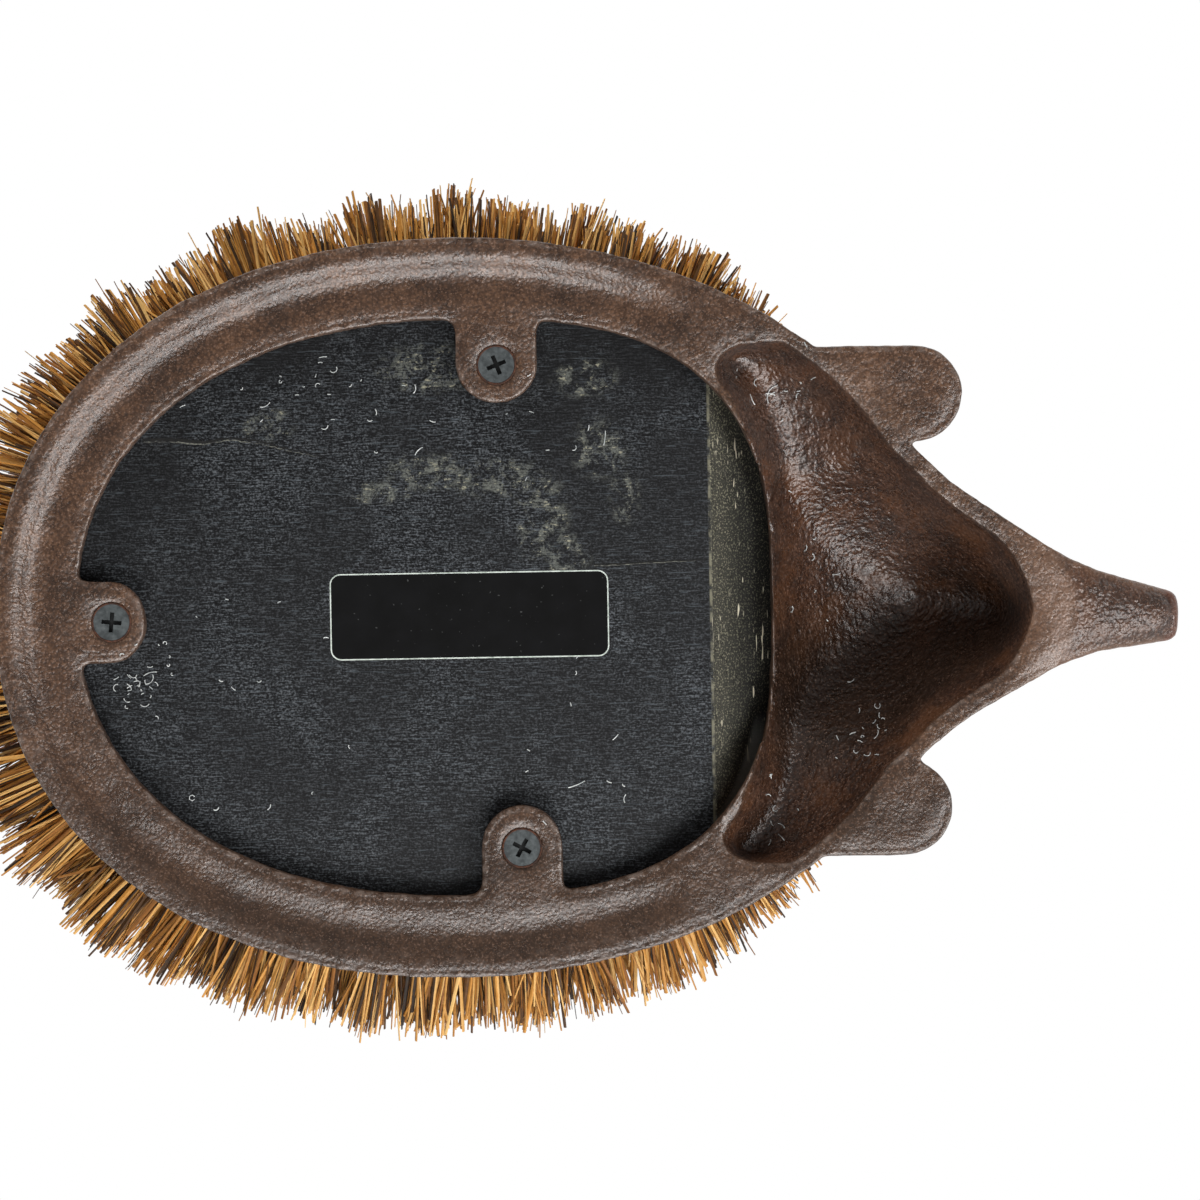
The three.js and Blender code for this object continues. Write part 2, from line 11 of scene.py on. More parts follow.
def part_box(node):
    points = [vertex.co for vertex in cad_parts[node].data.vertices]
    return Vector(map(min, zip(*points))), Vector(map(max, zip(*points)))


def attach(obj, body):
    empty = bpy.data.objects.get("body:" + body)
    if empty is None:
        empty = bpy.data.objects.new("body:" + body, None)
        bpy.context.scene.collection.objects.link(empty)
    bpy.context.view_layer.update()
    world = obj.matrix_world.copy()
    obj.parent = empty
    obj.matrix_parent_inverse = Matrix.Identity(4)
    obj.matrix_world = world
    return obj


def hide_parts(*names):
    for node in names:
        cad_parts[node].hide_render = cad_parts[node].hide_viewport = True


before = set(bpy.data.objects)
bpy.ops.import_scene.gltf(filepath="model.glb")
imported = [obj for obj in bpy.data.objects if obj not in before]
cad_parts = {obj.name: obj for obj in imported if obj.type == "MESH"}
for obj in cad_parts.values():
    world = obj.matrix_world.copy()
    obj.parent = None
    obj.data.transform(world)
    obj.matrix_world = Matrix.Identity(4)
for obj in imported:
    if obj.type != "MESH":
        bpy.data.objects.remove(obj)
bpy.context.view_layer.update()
MM = 0.001

# Places taken from the frame's nodes; outlines and marks are measured from the rim's widest station
NOSE_REACH = 173.8 * MM
WAIST_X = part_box("cast_body")[1].x - NOSE_REACH
BLOCK_LOW, BLOCK_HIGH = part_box("brush_block")
FIELD_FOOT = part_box("bristles_front_left")[0].z
SCREW_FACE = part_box("screw_rear")[0].z

# Board, with the top layer that the tufts stand in; a turn is in radians
TOP_LAYER = 5 * MM
BOARD_FRONT = 76.0 * MM
BOARD_REAR = WAIST_X - BLOCK_LOW.x
BOARD_HALF = BLOCK_HIGH.y
BOARD_TOP = FIELD_FOOT + TOP_LAYER
BOARD_FRONT_POWER = 2.8
BOARD_REAR_POWER = 2.2
BOARD_STEPS = 120
CHAMFER_STATION = 60.5 * MM
BOARD_ROUNDING = 0.9 * MM
SHORT_EDGE = 0.3 * MM
SHARP_TURN = 0.5

# View: straight from below, with the picture's right along +X and its foot along +Y
VIEW_DISTANCE = 1.0
VIEW_WIDTH = 0.288
VIEW_ROLL = math.radians(0.95)
VIEW_CENTRE = Vector((13.43 * MM, -1.26 * MM, 0))
SENSOR = 36.0

# Lamps: turn from +X and lift above the ground in degrees, width in metres, power in watts, and whether
# shiny surfaces show the lamp itself
LAMPS = {
    "key_below": (90, -45, 1.9, 96, True),
    "side_below": (28, -42, 1.7, 77, True),
    "fill_below": (-108, -13, 1.8, 118, False),
    "key_above": (-115, 60, 2.2, 90, False),
    "fill_above": (40, 45, 2.2, 60, False),
}
LAMP_DISTANCE = 3.5
AMBIENT = 0.06
GROUND_SHINE = 0.25
FLOOR_HALF = 2.5
FLOOR_FADE = 0.9

# Casting; a bend is the turn of the surface per metre
SKIN_VOXEL = 0.75 * MM
SKIN_SMOOTHING = 6
SKIN_WAVES = (("hand_made", 9 * MM, 0.5 * MM), ("pebbles", 2.4 * MM, 0.18 * MM))
HOLLOW_REAR = 60 * MM
HOLLOW_FLOOR = 1.5 * MM
HOLLOW_CLEARANCE = 0.5 * MM
HOLLOW_SMOOTHING = 60
UNDERSIDE_SMOOTHING = 22
EDGE_KEPT = 3
UPRIGHT_NORMAL = -0.45
SHARP_BEND = 380

# Coir: splay, lean and tilt are sideways per unit of height, the fan is lean per metre off a tuft's middle,
# and trims are shares of the dome
TUFT_PITCH = 7.6 * MM
TUFT_RADIUS = 2.6 * MM
TUFT_ROWS = 12
TUFTS_BEHIND = 14
TUFTS_AHEAD = 12
TUFT_SCATTER = 0.5 * MM
TUFT_TILT = 0.14
TUFT_FAN = 35
TUFT_FILL = 0.8
ROOT_DEPTH = 1 * MM
INNER_FIBRES = 34
EDGE_FIBRES = 54
EDGE_SHARE = 0.72
FIBRE_WIDTH = (0.5 * MM, 1.2 * MM)
FIBRE_FLATNESS = 0.45
FIBRE_STATIONS = (0.0, 0.3, 0.6, 0.85, 1.0)
FIBRE_TAPER = (1.0, 1.0, 1.0, 0.95, 0.8)
FIBRE_BEND = 0.05
LONGEST_FIBRE = 200 * MM
LENGTH_ROUNDS = 30
SHORTEST_TRIM = 0.6
DARK_SHARE = 0.3
DARK_TONES = (0.0, 0.3)
PALE_TONES = (0.38, 1.0)
EDGE_MARGIN = 2.5 * MM
SIDE_REACH = 108 * MM
REAR_REACH = 139 * MM
FRONT_REACH = 118 * MM
DOME_WAIST = 38 * MM
DOME_TOP = 100 * MM
FULL_POWER = 2.35
SIDE_SPLAY = 1.75
REAR_SPLAY = 1.7
FRONT_SPLAY = 0.85
STRAY_SHARE = 0.12
STRAY_LEAN = 0.3
FIBRE_LEAN = 0.1
FIBRE_TRIM = 0.075
TUFT_TRIM = 0.025
RAGGED_TRIM = 0.11
RAGGED_EDGE = 28 * MM
RAGGED_REAR = 92 * MM

# Bare label on the board
LABEL_SIZE = (67.4 * MM, 20.9 * MM)
LABEL_CENTRE = (2.0 * MM, 1.9 * MM)
LABEL_CORNER = 2.6 * MM
CORNER_STEPS = 6
LABEL_BORDER = 0.3 * MM
LABEL_THICKNESS = 0.12 * MM

# Scuffs in the board's paint: middle and half-size of each, in mm
SCUFFS = (
    ((-7, -33), (14, 6)), ((10, -31), (16, 6)), ((20, -21), (8, 15)), ((34, -38), (9, 9)),
    ((31, -55), (10, 6)), ((-19, -28), (10, 3.5)), ((-7, -58), (16, 8)), ((-46, -45), (8, 5)),
    ((26, -12), (7, 7)), ((40, -26), (5, 8)),
)

# Cracks in the board's paint: width of each, and points along it in mm
CRACKS = {
    "long_crack": (0.8 * MM, (
        (-76.4, -41.8), (-69.6, -41.8), (-61.7, -41.0), (-55.2, -42.0), (-48, -41), (-40.8, -39),
        (-32, -37.1))),
    "short_crack": (0.45 * MM, ((32.4, -9.8), (44, -10.2), (52, -10.5), (60.2, -10.7))),
}
CRACK_STEPS = 8
CRACK_PROUD = 0.03 * MM
CRACK_WANDER = 0.08 * MM
LIP_SHIFT = 0.7

# Rust round the screw heads
RUST_GAP = 0.15 * MM
RUST_THICKNESS = 0.22 * MM
RUST_STEPS = 48
RUST_SECTION = 8

# Lint: middle and half-size of each patch in mm, and the number of hairs in it
LINT = (
    ((-33.6, -51.7), (28, 13), 24), ((-79, 16), (9, 11), 34), ((-46, 24), (30, 26), 12),
    ((78, -52), (15, 9), 18), ((75, 49), (5, 9), 12), ((98, 32), (8, 10), 22), ((86, -5), (10, 26), 8),
    ((26, 42), (28, 20), 9), ((14, -44), (34, 14), 9), ((28, 13), (3, 3), 2),
)
LINT_RADIUS = 0.11 * MM
LINT_LIFT = 0.15 * MM
LINT_SHORTEST = 0.5 * MM
LINT_SPREAD = 0.6 * MM
LINT_POINTS = 6
LINT_CURL = 0.35
WELL_BELOW = -30 * MM

coir_rng = np.random.default_rng(11)
mark_rng = np.random.default_rng(5)


def srgb(*levels):
    """Linear colour from screen levels of 0 to 255."""
    return tuple(((v / 255 + 0.055) / 1.055) ** 2.4 for v in levels) + (1.0,)


def add_object(name, mesh, *materials):
    made = bpy.data.objects.new(name, mesh)
    bpy.context.scene.collection.objects.link(made)
    mesh.materials.clear()
    for material in materials:
        mesh.materials.append(material)
    return made


def mesh_of(name, points, faces):
    mesh = bpy.data.meshes.new(name)
    mesh.from_pydata(np.asarray(points).reshape(-1, 3).tolist(), [], faces)
    mesh.update()
    return mesh


def set_values(mesh, name, values):
    attribute = mesh.attributes.new(name, "FLOAT", "POINT")
    attribute.data.foreach_set("value", np.asarray(values, np.float32).ravel())


class Graph:
    """A node tree, with one short call for each kind of node that is used here."""

    def __init__(self, name, kind=bpy.data.materials):
        self.owner = kind.new(name)
        self.owner.use_nodes = True
        self.tree = self.owner.node_tree
        self.tree.nodes.clear()

    def put(self, socket, value):
        if isinstance(value, bpy.types.NodeSocket):
            self.tree.links.new(value, socket)
        else:
            socket.default_value = value

    def node(self, kind, inputs, **settings):
        made = self.tree.nodes.new("ShaderNode" + kind)
        for key, value in settings.items():
            setattr(made, key, value)
        for key, value in inputs.items():
            self.put(made.inputs[key], value)
        return made

    def place(self):
        return self.node("TexCoord", {}).outputs["Object"]

    def stretched(self, scale, at=(0, 0, 0)):
        inputs = {"Vector": self.place(), "Location": at, "Scale": scale}
        return self.node("Mapping", inputs).outputs["Vector"]

    def value(self, name):
        return self.node("Attribute", {}, attribute_name=name).outputs["Fac"]

    def noise(self, size, detail=2.0, rough=0.5, vector=None, bend=0.0):
        inputs = {"Scale": 1 / size, "Detail": detail, "Roughness": rough, "Distortion": bend}
        inputs["Vector"] = vector or self.place()
        return self.node("TexNoise", inputs).outputs["Fac"]

    def cells(self, size):
        inputs = {"Scale": 1 / size, "Vector": self.place()}
        return self.node("TexVoronoi", inputs).outputs["Distance"]

    def math(self, operation, a, b=0.0):
        return self.node("Math", {0: a, 1: b}, operation=operation).outputs[0]

    def span(self, value, low, high, to_low=0.0, to_high=1.0):
        inputs = {"Value": value, "From Min": low, "From Max": high, "To Min": to_low, "To Max": to_high}
        return self.node("MapRange", inputs, interpolation_type="SMOOTHSTEP").outputs["Result"]

    def mix(self, share, a, b, blend="MIX"):
        inputs = {0: share, 6: a, 7: b}
        return self.node("Mix", inputs, data_type="RGBA", blend_type=blend).outputs[2]

    def ramp(self, value, *stops):
        made = self.node("ValToRGB", {"Fac": value})
        band = made.color_ramp
        while len(band.elements) < len(stops):
            band.elements.new(0.5)
        for element, (position, colour) in zip(band.elements, stops):
            element.position = position
            element.color = colour
        return made.outputs["Color"]

    def bump(self, height, depth, normal=None):
        inputs = {"Height": height, "Strength": 1.0, "Distance": depth}
        if normal is not None:
            inputs["Normal"] = normal
        return self.node("Bump", inputs).outputs["Normal"]

    def axis(self, socket, name):
        return self.node("SeparateXYZ", {"Vector": socket}).outputs[name]

    def height(self):
        return self.axis(self.place(), "Z")

    def finish(self, **inputs):
        names = {key.replace("_", " "): value for key, value in inputs.items()}
        shader = self.node("BsdfPrincipled", names)
        output = self.node("OutputMaterial", {"Surface": shader.outputs["BSDF"]})
        output.is_active_output = True
        return self.owner


def hollow_rust_and_shade(g, tone):
    """Colour of the bare skin inside the head: brown and blotched, with painted shade that makes it darkest
    left of the middle.
    """
    rust = g.ramp(tone, (0.38, srgb(38, 22, 15)), (0.50, srgb(68, 43, 30)), (0.62, srgb(98, 69, 53)))
    dark = g.span(g.noise(9 * MM, 3.0, 0.6), 0.50, 0.66, 0.0, 0.7)
    rust = g.mix(dark, rust, srgb(38, 27, 22))
    red = g.span(g.noise(13 * MM, 3.0, 0.6, g.stretched((1, 1, 1), (0.3, 0.1, 0))), 0.48, 0.64, 0.0, 0.5)
    rust = g.mix(red, rust, srgb(102, 64, 38))
    left = g.axis(g.place(), "Y")
    # Painted shade: darker left of the middle and higher up in the hollow, fading by the left wall's lobe
    painted_hollow_shade = g.span(left, -8 * MM, 20 * MM, 0.0, 0.85)
    painted_hollow_shade = g.math("MULTIPLY", painted_hollow_shade, g.span(left, 32 * MM, 46 * MM, 1.0, 0.2))
    painted_hollow_shade = g.math("MULTIPLY", painted_hollow_shade, g.span(g.height(), 7 * MM, 18 * MM))
    return g.mix(painted_hollow_shade, rust, srgb(30, 20, 14))


def outer_skin(g, tone):
    """Colour of the coated outside: painted shade towards the left side, a painted highlight on the snout,
    red at the nose.
    """
    skin = g.ramp(tone, (0.38, srgb(52, 34, 22)), (0.50, srgb(81, 56, 39)), (0.62, srgb(112, 81, 59)))
    # Painted shade: the coat darker towards the left side, where less lamp light falls
    thin = g.span(g.axis(g.place(), "Y"), 0, 80 * MM, 0.0, 0.6)
    skin = g.mix(thin, skin, srgb(48, 34, 24))
    ahead = g.axis(g.place(), "X")
    # Painted highlight: the snout's underside made lighter where the lamps light it
    painted_snout_light = g.span(ahead, WAIST_X + 128 * MM, WAIST_X + 150 * MM, 0.0, 0.5)
    skin = g.mix(painted_snout_light, skin, srgb(140, 108, 88))
    nose = g.span(ahead, WAIST_X + 168 * MM, WAIST_X + 172 * MM, 0.0, 0.7)
    return g.mix(nose, skin, srgb(104, 54, 34))


def iron_material():
    g = Graph("brown_cast_iron")
    inside = g.value("inside")
    grit = g.noise(0.5 * MM, 3.0, 0.65)
    sand = g.span(g.cells(1.0 * MM), 0.1, 0.75, 0.7, 0.3)
    cloud = g.noise(14 * MM, 3.0, 0.55)
    tone = g.math("ADD", g.math("MULTIPLY", cloud, 0.4), g.math("MULTIPLY", sand, 0.3))
    tone = g.math("ADD", tone, g.math("MULTIPLY", grit, 0.3))
    colour = g.mix(g.math("MULTIPLY", inside, 0.9), outer_skin(g, tone), hollow_rust_and_shade(g, tone))
    # Painted glints on the tops of the fine grit, and painted shade in its hollows
    colour = g.mix(g.span(grit, 0.57, 0.66, 0.0, 0.45), colour, srgb(152, 124, 108))
    colour = g.mix(g.span(grit, 0.34, 0.43, 0.5, 0.0), colour, srgb(36, 26, 21))
    pits = g.span(g.noise(1.7 * MM, 3.0, 0.65), 0.63, 0.70, 0.0, 0.5)
    colour = g.mix(pits, colour, srgb(36, 27, 23))
    bare = g.math("MULTIPLY", g.value("wear"), g.span(inside, 0.0, 0.3, 0.4, 0.0))
    worn = g.math("MULTIPLY", bare, g.span(g.noise(2.2 * MM, 3.0), 0.42, 0.66))
    colour = g.mix(worn, colour, srgb(146, 130, 120))
    pebble = g.math("MULTIPLY", g.noise(1.5 * MM, 1.0), inside)
    relief = g.bump(pebble, 0.6 * MM)
    relief = g.bump(sand, 0.16 * MM, relief)
    relief = g.bump(grit, 0.12 * MM, relief)
    gloss = g.span(g.noise(3.5 * MM, 2.0), 0.3, 0.7, 0.22, 0.34)
    up = g.axis(g.node("NewGeometry", {}).outputs["True Normal"], "Z")
    gloss = g.math("MAXIMUM", gloss, g.span(up, -0.6, -0.2, 0.0, 0.6))
    return g.finish(
        Base_Color=colour, Roughness=gloss, Normal=relief, Metallic=0.1, Specular_IOR_Level=0.9)


def near_spots(g, spots):
    """1 in the middle of the nearest spot, falling to 0 at its edge."""
    closest = 0.0
    for (x, y), (half_x, half_y) in spots:
        scale = (1 / (half_x * MM), 1 / (half_y * MM), 1)
        at = (-(WAIST_X + x * MM) * scale[0], -y * MM * scale[1], -BLOCK_LOW.z)
        spot = g.node("TexGradient", {"Vector": g.stretched(scale, at)}, gradient_type="SPHERICAL")
        closest = g.math("MAXIMUM", closest, spot.outputs["Fac"])
    return closest


def painted_highlight_strip(g):
    """Share of a pale painted highlight strip that follows the board's edge at the left end of the chamfer.
    """
    left = g.axis(g.place(), "Y")
    ahead = g.math("SUBTRACT", g.axis(g.place(), "X"), WAIST_X)
    along = g.math("POWER", g.math("DIVIDE", ahead, BOARD_FRONT), BOARD_FRONT_POWER)
    across = g.math("POWER", g.math("DIVIDE", left, BOARD_HALF), BOARD_FRONT_POWER)
    by_edge = g.span(g.math("ADD", along, across), 0.86, 0.91)
    return g.math("MULTIPLY", by_edge, g.span(left, 26 * MM, 34 * MM, 0.0, 0.7))


def chamfer_paint(g):
    """Stippled thin paint on the chamfer, paler along its edge and darker deeper in as painted shade, with
    a few bare wood flecks.
    """
    # Painted shade: darker, with fewer pale dots, deeper up the chamfer into the recess
    depth = g.span(g.height(), BLOCK_LOW.z, BLOCK_LOW.z + 10 * MM)
    base = g.mix(depth, srgb(74, 73, 67), srgb(33, 33, 32))
    dots = g.span(g.noise(0.5 * MM, 2.0, 0.6), 0.53, 0.63)
    dots = g.math("MULTIPLY", dots, g.span(g.axis(g.place(), "Y"), -40 * MM, 0, 1.0, 0.75))
    base = g.mix(g.math("MULTIPLY", dots, g.span(depth, 0, 1, 0.95, 0.35)), base, srgb(164, 160, 136))
    dark = g.span(g.noise(0.9 * MM, 3.0, 0.6), 0.55, 0.68)
    base = g.mix(g.math("MULTIPLY", dark, 0.7), base, srgb(22, 22, 21))
    here = g.span(g.noise(8 * MM, 1.0), 0.5, 0.58)
    fleck = g.span(g.noise(1.0, 1.0, 0.5, g.stretched((1400, 200, 1400))), 0.67, 0.71)
    base = g.mix(g.math("MULTIPLY", fleck, here), base, srgb(222, 214, 190))
    # Painted highlight along the board's edge at the left end of the chamfer
    return g.mix(painted_highlight_strip(g), base, srgb(150, 156, 154))


def scuffed(g, paint, tone):
    """Greenish scuffs that show the fibres under the paint, with a few bare flakes."""
    patch = g.span(g.noise(4 * MM, 8.0, 0.78, bend=0.4), 0.49, 0.57)
    scuff = g.math("MULTIPLY", g.span(near_spots(g, SCUFFS), 0.0, 0.6), patch)
    worn = g.math("MULTIPLY", scuff, g.span(tone, 0.42, 0.56, 0.3, 1.0))
    paint = g.mix(worn, paint, srgb(106, 108, 102))
    thread = g.noise(1.0, 2.0, 0.6, g.stretched((450, 1300, 500)))
    flake = g.math("MULTIPLY", g.span(scuff, 0.2, 0.6), g.span(thread, 0.58, 0.66))
    return g.mix(flake, paint, srgb(152, 149, 130))


def wood_material():
    g = Graph("black_painted_wood")
    grain = g.noise(1.0, 3.0, 0.65, g.stretched((180, 2300, 500)))
    fibre = g.noise(1.0, 2.0, 0.6, g.stretched((650, 3900, 900)))
    rough = g.noise(0.55 * MM, 3.0, 0.7)
    tone = g.math("ADD", g.math("MULTIPLY", grain, 0.22), g.math("MULTIPLY", fibre, 0.33))
    tone = g.math("ADD", tone, g.math("MULTIPLY", rough, 0.45))
    paint = g.ramp(tone, (0.42, srgb(5, 5, 6)), (0.50, srgb(29, 30, 32)), (0.60, srgb(98, 102, 106)))
    shade = g.span(g.axis(g.place(), "Y"), -75 * MM, 5 * MM, 0.85, 0.55)
    broad = g.span(g.noise(24 * MM, 4.0, 0.6), 0.38, 0.62)
    paint = g.mix(g.math("MULTIPLY", shade, broad), paint, srgb(26, 26, 27))
    streak = g.span(g.noise(1.0, 1.0, 0.5, g.stretched((210, 2300, 300), (3, 1, 0))), 0.64, 0.72)
    paint = g.mix(g.math("MULTIPLY", streak, 0.3), paint, srgb(100, 108, 114))
    paint = scuffed(g, paint, tone)
    facing = g.axis(g.node("NewGeometry", {}).outputs["True Normal"], "X")
    paint = g.mix(g.span(facing, 0.3, 0.6), paint, chamfer_paint(g))
    from_edge = g.math("ABSOLUTE", g.math("SUBTRACT", g.axis(g.place(), "X"), WAIST_X + CHAMFER_STATION))
    arris = g.span(from_edge, 0.1 * MM, 0.5 * MM, 0.75, 0.0)
    arris = g.math("MULTIPLY", arris, g.span(g.noise(3 * MM, 4.0), 0.4, 0.6))
    paint = g.mix(arris, paint, srgb(140, 136, 116))
    relief = g.bump(grain, 0.1 * MM)
    relief = g.bump(tone, 0.2 * MM, relief)
    gloss = g.span(fibre, 0.3, 0.7, 0.46, 0.6)
    return g.finish(Base_Color=paint, Roughness=gloss, Normal=relief, Specular_IOR_Level=0.16)


def screw_material():
    g = Graph("dark_phosphate_steel")
    stain = g.noise(1.6 * MM, 3.0, 0.6)
    colour = g.ramp(stain, (0.35, srgb(62, 66, 67)), (0.65, srgb(92, 97, 98)))
    fleck = g.span(g.noise(0.8 * MM, 2.0), 0.66, 0.76)
    colour = g.mix(g.math("MULTIPLY", fleck, 0.5), colour, srgb(118, 122, 120))
    # Painted shade: the cross recess darkened towards its bottom
    painted_recess_shade = g.span(g.height(), SCREW_FACE + 0.15 * MM, SCREW_FACE + 0.7 * MM, 0.0, 0.9)
    colour = g.mix(painted_recess_shade, colour, srgb(14, 14, 14))
    relief = g.bump(g.noise(0.5 * MM, 2.0), 0.05 * MM)
    return g.finish(Base_Color=colour, Roughness=0.42, Metallic=0.3, Normal=relief)


def rust_material():
    g = Graph("rust")
    colour = g.ramp(g.noise(0.9 * MM, 3.0), (0.35, srgb(44, 26, 18)), (0.65, srgb(86, 50, 32)))
    return g.finish(Base_Color=colour, Roughness=0.8, Normal=g.bump(g.noise(0.4 * MM, 2.0), 0.1 * MM))


def coir_material():
    g = Graph("coir_fibre")
    streak = g.noise(1.0, 2.0, 0.6, g.stretched((900, 900, 120)))
    tone = g.math("ADD", g.value("tone"), g.math("MULTIPLY", g.math("SUBTRACT", streak, 0.5), 0.25))
    colour = g.ramp(
        tone, (0.0, srgb(40, 32, 26)), (0.20, srgb(88, 60, 34)), (0.45, srgb(148, 96, 44)),
        (0.70, srgb(202, 142, 66)), (1.0, srgb(236, 192, 122)))
    # Painted shade: fibres darker towards their roots, deep in the brush
    root = g.span(g.value("along"), 0.0, 0.7, 0.4, 0.0)
    colour = g.mix(root, colour, srgb(58, 38, 24))
    relief = g.bump(streak, 0.1 * MM)
    return g.finish(Base_Color=colour, Roughness=0.5, Normal=relief, Specular_IOR_Level=0.3)


def label_material():
    g = Graph("black_label_print")
    haze = g.noise(6 * MM, 3.0)
    dust = g.span(g.noise(0.8 * MM, 1.0), 0.74, 0.80)
    colour = g.ramp(haze, (0.3, srgb(10, 10, 10)), (0.7, srgb(16, 16, 17)))
    colour = g.mix(g.math("MULTIPLY", dust, 0.3), colour, srgb(120, 122, 120))
    return g.finish(Base_Color=colour, Roughness=0.5, Specular_IOR_Level=0.12)


def border_material():
    g = Graph("pale_label_edge")
    colour = g.ramp(g.noise(1.2 * MM, 2.0), (0.3, srgb(160, 170, 160)), (0.6, srgb(214, 222, 214)))
    return g.finish(Base_Color=colour, Roughness=0.6)


def lint_material():
    g = Graph("white_lint")
    colour = g.ramp(g.noise(1.5 * MM, 2.0), (0.3, srgb(176, 182, 182)), (0.7, srgb(240, 242, 240)))
    return g.finish(Base_Color=colour, Roughness=0.8)


def crack_material():
    g = Graph("paint_crack")
    colour = g.ramp(g.noise(1.2 * MM, 3.0), (0.35, srgb(10, 10, 10)), (0.65, srgb(26, 25, 23)))
    return g.finish(Base_Color=colour, Roughness=0.9)


def lip_material():
    g = Graph("chipped_lip")
    colour = g.ramp(g.noise(1.6 * MM, 3.0, 0.7), (0.42, srgb(40, 40, 40)), (0.60, srgb(120, 120, 110)))
    return g.finish(Base_Color=colour, Roughness=0.7)


def applied(obj, name):
    """Mesh of an object with its modifiers, under a new name."""
    view = bpy.context.evaluated_depsgraph_get()
    mesh = bpy.data.meshes.new_from_object(obj.evaluated_get(view))
    mesh.name = name
    return mesh


def mesh_arrays(mesh):
    points = np.zeros(len(mesh.vertices) * 3)
    normals = np.zeros(len(mesh.vertices) * 3)
    edges = np.zeros(len(mesh.edges) * 2, int)
    mesh.vertices.foreach_get("co", points)
    mesh.vertices.foreach_get("normal", normals)
    mesh.edges.foreach_get("vertices", edges)
    return points.reshape(-1, 3), normals.reshape(-1, 3), edges.reshape(-1, 2)


def spread(values, edges, rounds):
    """Values averaged with their neighbours a number of times."""
    count = np.bincount(edges.ravel(), minlength=len(values)) + 1
    for _ in range(rounds):
        total = values + np.bincount(edges[:, 0], values[edges[:, 1]], len(values))
        total += np.bincount(edges[:, 1], values[edges[:, 0]], len(values))
        values = total / count
    return values


def ridge_values(mesh):
    """How sharply each point stands proud, from 0 to 1."""
    points, normals, edges = mesh_arrays(mesh)
    a, b = edges[:, 0], edges[:, 1]
    step = points[b] - points[a]
    turn = ((normals[b] - normals[a]) * step).sum(1) / (step * step).sum(1)
    total = np.bincount(a, turn, len(points)) + np.bincount(b, turn, len(points))
    bend = total / np.bincount(edges.ravel(), minlength=len(points))
    return np.clip(spread(bend, edges, 2) / SHARP_BEND, 0, 1)


def inside_values(mesh):
    """1 in the hollow of the head, where iron lies above, and 0 elsewhere."""
    points, normals, edges = mesh_arrays(mesh)
    tree = BVHTree.FromPolygons(points.tolist(), [tuple(p.vertices) for p in mesh.polygons])
    covered = np.zeros(len(points))
    ahead = np.flatnonzero((points[:, 0] > WAIST_X + HOLLOW_REAR) & (points[:, 2] > HOLLOW_FLOOR))
    up = Vector((0, 0, 1))
    for i in ahead:
        start = Vector(points[i] + normals[i] * HOLLOW_CLEARANCE)
        covered[i] = 0.0 if tree.ray_cast(start, up)[0] is None else 1.0
    return spread(covered, edges, 4)


def relax(points, edges, share, rounds):
    """Points drawn towards their neighbours, as far as each one's share allows."""
    middle = np.column_stack([spread(points[:, axis], edges, rounds) for axis in range(3)])
    return points + (middle - points) * share[:, None]


def skin_waves(skin, name, size, strength):
    clouds = bpy.data.textures.new(name, "CLOUDS")
    clouds.noise_scale = size
    wave = skin.modifiers.new(name, "DISPLACE")
    wave.texture = clouds
    wave.texture_coords = "GLOBAL"
    wave.strength = strength


def even_skin():
    """The casting's surface in small even faces, a little rounded at its edges."""
    source = add_object("cast_source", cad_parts["cast_body"].data.copy())
    remesh = source.modifiers.new("even", "REMESH")
    remesh.mode = "VOXEL"
    remesh.voxel_size = SKIN_VOXEL
    soften = source.modifiers.new("soft", "SMOOTH")
    soften.factor = 0.5
    soften.iterations = SKIN_SMOOTHING
    mesh = applied(source, "cast_body_skin")
    bpy.data.objects.remove(source)
    return mesh


def cast_skin(material):
    mesh = even_skin()
    inside = inside_values(mesh)
    points, normals, edges = mesh_arrays(mesh)
    upright = np.where(normals[:, 2] > UPRIGHT_NORMAL, 1.0, 0.0)
    near_edge = np.clip(3 * spread(upright, edges, EDGE_KEPT), 0, 1)
    points = relax(points, edges, (1 - inside) * (1 - near_edge), UNDERSIDE_SMOOTHING)
    points = relax(points, edges, inside, HOLLOW_SMOOTHING)
    mesh.vertices.foreach_set("co", points.ravel())
    mesh.update()
    set_values(mesh, "wear", ridge_values(mesh))
    set_values(mesh, "inside", inside)
    skin = add_object("cast_body_skin", mesh, material)
    for name, size, strength in SKIN_WAVES:
        skin_waves(skin, name, size, strength)
    mesh.shade_smooth()
    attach(skin, "root")
    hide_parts("cast_body")
    return mesh


def board_half(x, inset):
    """Half-width of the board at a station."""
    power = np.where(x >= 0, BOARD_FRONT_POWER, BOARD_REAR_POWER)
    reach = np.where(x >= 0, BOARD_FRONT, BOARD_REAR) - inset
    share = np.clip(1 - np.abs(x / reach) ** power, 0, 1)
    return (BOARD_HALF - inset) * share ** (1 / power)


def board_ring(z):
    ring = []
    for step in range(BOARD_STEPS):
        turn = 2 * math.pi * step / BOARD_STEPS
        c, s = math.cos(turn), math.sin(turn)
        power = 2 / (BOARD_FRONT_POWER if c >= 0 else BOARD_REAR_POWER)
        reach = BOARD_FRONT if c >= 0 else BOARD_REAR
        x = WAIST_X + reach * math.copysign(abs(c) ** power, c)
        ring.append((x, BOARD_HALF * math.copysign(abs(s) ** power, s), z))
    return ring


